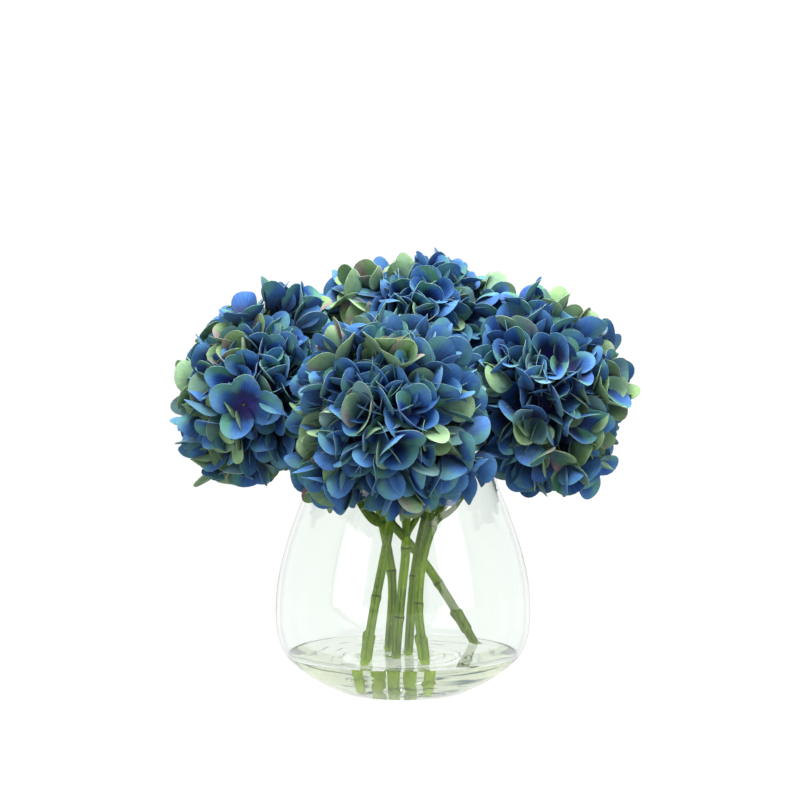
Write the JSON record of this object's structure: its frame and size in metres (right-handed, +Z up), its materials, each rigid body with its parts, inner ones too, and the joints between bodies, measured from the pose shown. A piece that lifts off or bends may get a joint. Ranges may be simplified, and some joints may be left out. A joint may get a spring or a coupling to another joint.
{
  "type": "hydrangeas in a vase",
  "caption": "Full rounded bunch of blue and green hydrangea heads on green stems, standing in a bulging clear glass vase with a shallow clear pour.",
  "frame": {"origin": "centre of the vase's flat foot, on the surface that it stands on", "axes": "+Z up the axis of the vase, -Y towards the front head, +X towards the right head"},
  "size_m": [0.3428, 0.3195, 0.326],
  "materials": {
    "glass": "clear polished glass with a faint cool green cast",
    "resin": "clear set resin that looks like water",
    "stem": "satin moulded green stalk with raised joints",
    "petals": "soft matte petal cloth, deep blue shading to green at the edges"
  },
  "bodies": {
    "root": {"vase": "glass", "resin_pour": "resin", "stem_front": "stem", "stem_left": "stem", "stem_right": "stem", "stem_top": "stem", "stem_back_left": "stem", "stem_back_right": "stem", "head_front": "petals", "head_left": "petals", "head_right": "petals", "head_top": "petals", "head_back_left": "petals", "head_back_right": "petals"}
  },
  "joints": []
}
